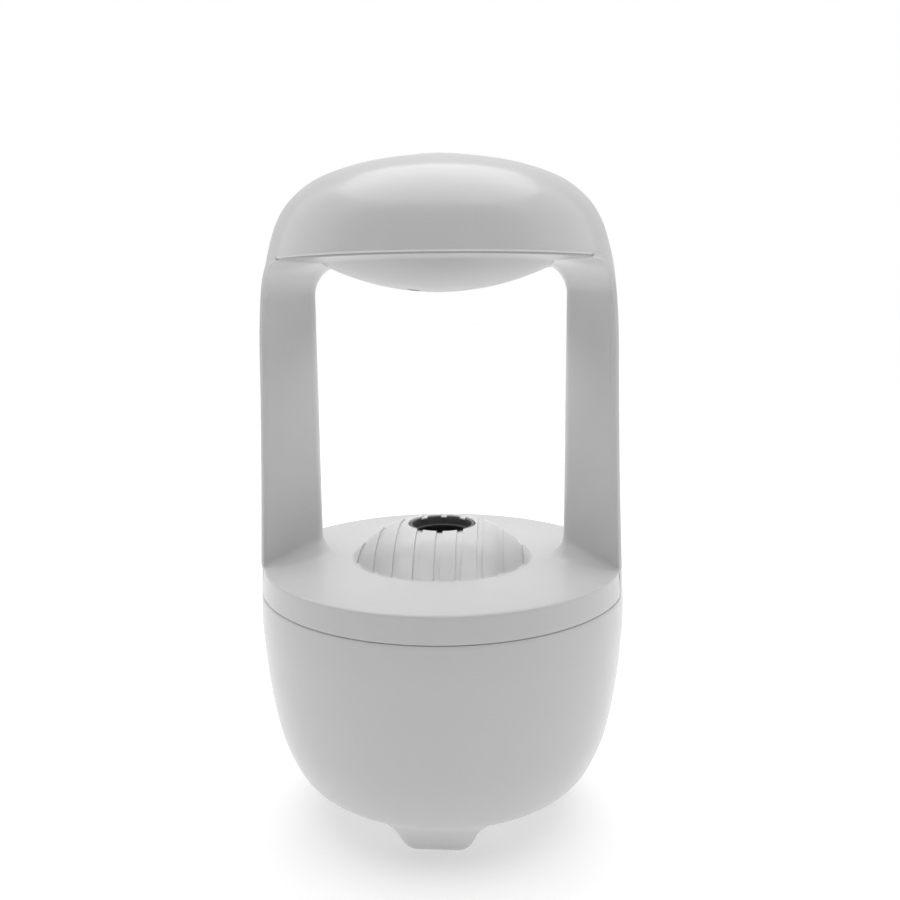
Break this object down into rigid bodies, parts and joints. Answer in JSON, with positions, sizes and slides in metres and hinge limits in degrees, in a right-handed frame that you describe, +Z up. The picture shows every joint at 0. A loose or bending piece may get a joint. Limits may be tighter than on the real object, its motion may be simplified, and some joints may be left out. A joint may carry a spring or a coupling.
{
  "type": "cool mist humidifier",
  "caption": "White table-top mist humidifier: round bowl on three feet, ribbed deck with a drain hole, two uprights framing a drip window, and a domed top with a turning mist cap.",
  "frame": {"origin": "centre of the base on the surface it stands on", "axes": "+Z up, and the front faces -Y"},
  "size_m": [0.1316, 0.1316, 0.235],
  "materials": {
    "white_gloss": "glossy moulded",
    "white_matte": "plain moulded",
    "dark_grey": "satin moulded",
    "grey_rubber": "matte",
    "silicone": "translucent satin",
    "board_green": "solder mask",
    "steel": "plain",
    "felt": "pressed felt",
    "float_foam": "closed-cell foam",
    "smoked_lens": "polished smoked lens",
    "led_clear": "clear moulded",
    "black_plastic": "plain moulded"
  },
  "bodies": {
    "humidifier": {"front_casing": "white_gloss", "rear_casing": "white_gloss", "inner_frame": "white_gloss", "led_window": "smoked_lens", "bottom_cover": "white_matte", "bottom_screw_1": "steel", "bottom_screw_2": "steel", "bottom_screw_3": "steel", "casing_screw_1": "steel", "casing_screw_2": "steel", "casing_screw_3": "steel", "casing_screw_4": "steel", "foot_pad_front": "grey_rubber", "foot_pad_left": "grey_rubber", "foot_pad_right": "grey_rubber", "base_chassis": "white_matte", "water_tank": "white_matte", "tank_gasket": "silicone", "pump_cover": "black_plastic", "pump_volute": "black_plastic", "pump_motor": "steel", "riser_hose": "silicone", "float_post": "white_matte", "upper_reservoir": "white_matte", "reservoir_lid": "white_matte", "drip_nozzle": "white_matte", "nozzle_seal": "silicone", "wick_pad": "felt", "atomizer_seal": "silicone", "atomizer_disc": "steel", "atomizer_retainer": "white_matte", "mist_chimney": "white_matte", "led_board": "board_green", "strobe_led": "led_clear", "wire_harness": "black_plastic", "main_board": "board_green", "power_switch": "black_plastic", "light_switch": "black_plastic", "usb_socket": "steel"},
    "mist_cap": {"mist_cap": "white_gloss"},
    "strainer": {"strainer_cup": "dark_grey"},
    "power_button": {"power_button": "white_gloss"},
    "light_button": {"light_button": "white_gloss"},
    "impeller": {"pump_impeller": "white_matte"},
    "float": {"float": "float_foam"}
  },
  "joints": [
    {"name": "mist_cap_turn", "type": "hinge", "parent": "humidifier", "child": "mist_cap", "pos_m": [0, 0, 0.2325], "axis": [0, 0, 1], "continuous": true},
    {"name": "strainer_lift", "type": "slide", "parent": "humidifier", "child": "strainer", "axis": [0, 0, 1], "range_m": [0, 0.05]},
    {"name": "power_button_press", "type": "slide", "parent": "humidifier", "child": "power_button", "axis": [0, -1, 0], "range_m": [0, 0.0008], "stiffness_N_per_m": 400, "springref_m": -0.0005},
    {"name": "light_button_press", "type": "slide", "parent": "humidifier", "child": "light_button", "axis": [0, -1, 0], "range_m": [0, 0.0008], "stiffness_N_per_m": 400, "springref_m": -0.0005},
    {"name": "impeller_spin", "type": "hinge", "parent": "humidifier", "child": "impeller", "pos_m": [-0.028, 0, 0.034], "axis": [0, 0, 1], "continuous": true},
    {"name": "float_rise", "type": "slide", "parent": "humidifier", "child": "float", "axis": [0, 0, 1], "range_m": [0, 0.009]}
  ]
}
